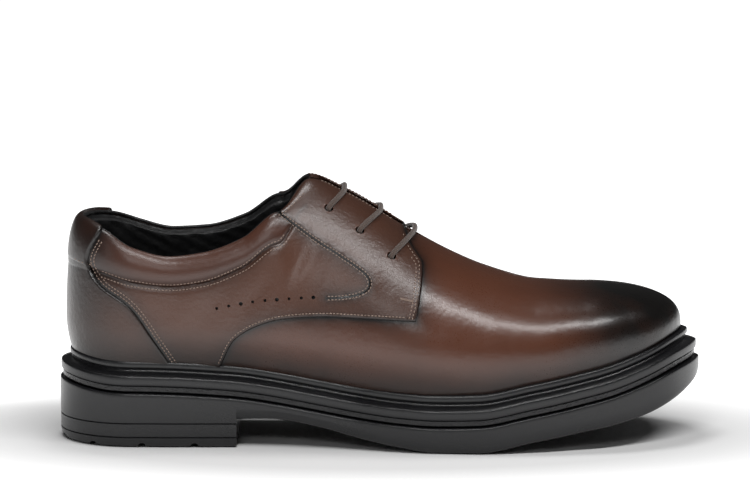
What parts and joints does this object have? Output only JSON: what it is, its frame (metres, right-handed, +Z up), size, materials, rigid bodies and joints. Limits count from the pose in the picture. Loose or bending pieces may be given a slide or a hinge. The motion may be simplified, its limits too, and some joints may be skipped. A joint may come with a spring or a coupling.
{
  "type": "dress shoe",
  "caption": "Derby dress shoe: hollow leather upper with raised quarters, counter, padded collar and laced throat on a moulded rubber sole with heel and welt lip.",
  "frame": {"origin": "on the floor, under the middle of the sole's length and width", "axes": "+X from heel to toe, -Y the outer (lateral) side of the right foot, +Z up"},
  "size_m": [0.302, 0.1078, 0.1223],
  "materials": {
    "upper_leather": "smooth burnished leather with a soft gloss, darker at toe, heel and seams",
    "tongue_leather": "matt dark brown leather",
    "lining": "soft black lining leather with fine wrinkles",
    "sole_rubber": "satin moulded rubber",
    "lace": "round woven waxed cord"
  },
  "bodies": {
    "root": {"upper": "upper_leather", "tongue": "tongue_leather", "insole": "lining", "welt": "sole_rubber", "midsole": "sole_rubber", "outsole": "sole_rubber", "lace_bar_1": "lace", "lace_bar_2": "lace", "lace_bar_3": "lace"}
  },
  "joints": []
}
